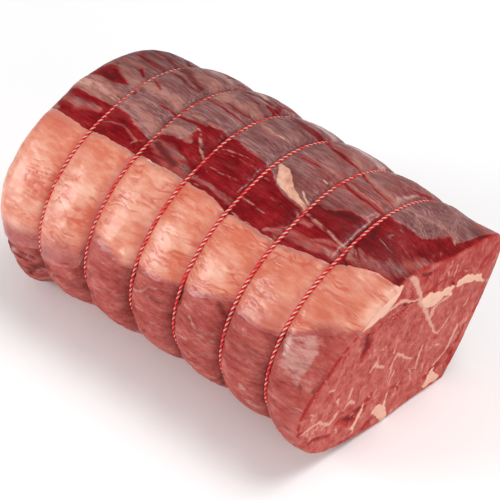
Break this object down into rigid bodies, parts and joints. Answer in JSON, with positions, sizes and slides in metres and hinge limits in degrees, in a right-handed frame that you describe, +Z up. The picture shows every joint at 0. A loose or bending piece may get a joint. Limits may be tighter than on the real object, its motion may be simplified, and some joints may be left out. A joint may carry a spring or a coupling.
{
  "type": "raw tied beef roasting joint",
  "caption": "Raw beef roasting joint, boned, rolled and tied at intervals with twine, with fat along its front and one flat cut end.",
  "frame": {"origin": "centre of the bounding box's base", "axes": "+X along the joint towards its flat cut end, -Y out of its fat-covered front, +Z up from the underside that it lies on"},
  "size_m": [0.2006, 0.1372, 0.1043],
  "materials": {
    "beef": "wet raw lean meat",
    "fat": "moist raw fat",
    "twine": "twisted cotton, one red strand and one white"
  },
  "bodies": {
    "root": {"beef": "beef", "fat_cover": "fat", "string_1": "twine", "string_2": "twine", "string_3": "twine", "string_4": "twine", "string_5": "twine", "string_6": "twine"}
  },
  "joints": []
}
